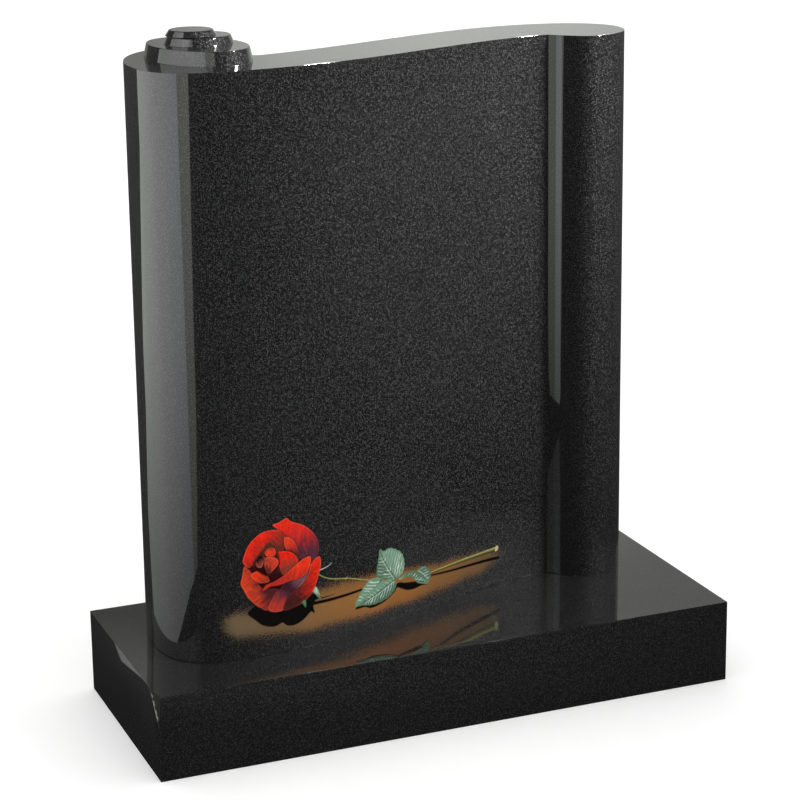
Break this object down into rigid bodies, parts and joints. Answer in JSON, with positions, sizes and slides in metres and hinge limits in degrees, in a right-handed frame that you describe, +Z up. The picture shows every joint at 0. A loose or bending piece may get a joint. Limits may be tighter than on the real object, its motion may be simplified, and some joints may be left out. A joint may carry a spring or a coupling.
{
  "type": "headstone",
  "caption": "Upright polished granite memorial tablet carved as a part-unrolled scroll, standing by its own weight on a low rectangular granite plinth.",
  "frame": {"origin": "on the ground, at the middle of the plinth's underside", "axes": "+Z up, X along the stone from the large roll at the left to the small roll at the right, +Y away from the painted front"},
  "size_m": [0.762, 0.305, 0.8603],
  "materials": {
    "plinth_granite": null,
    "tablet_granite": null,
    "flower_paint": "thin hand-painted stone paint, a red rose with green leaves on a soft brown ground"
  },
  "bodies": {
    "root": {"base": "plinth_granite", "tablet": "tablet_granite"}
  },
  "joints": []
}
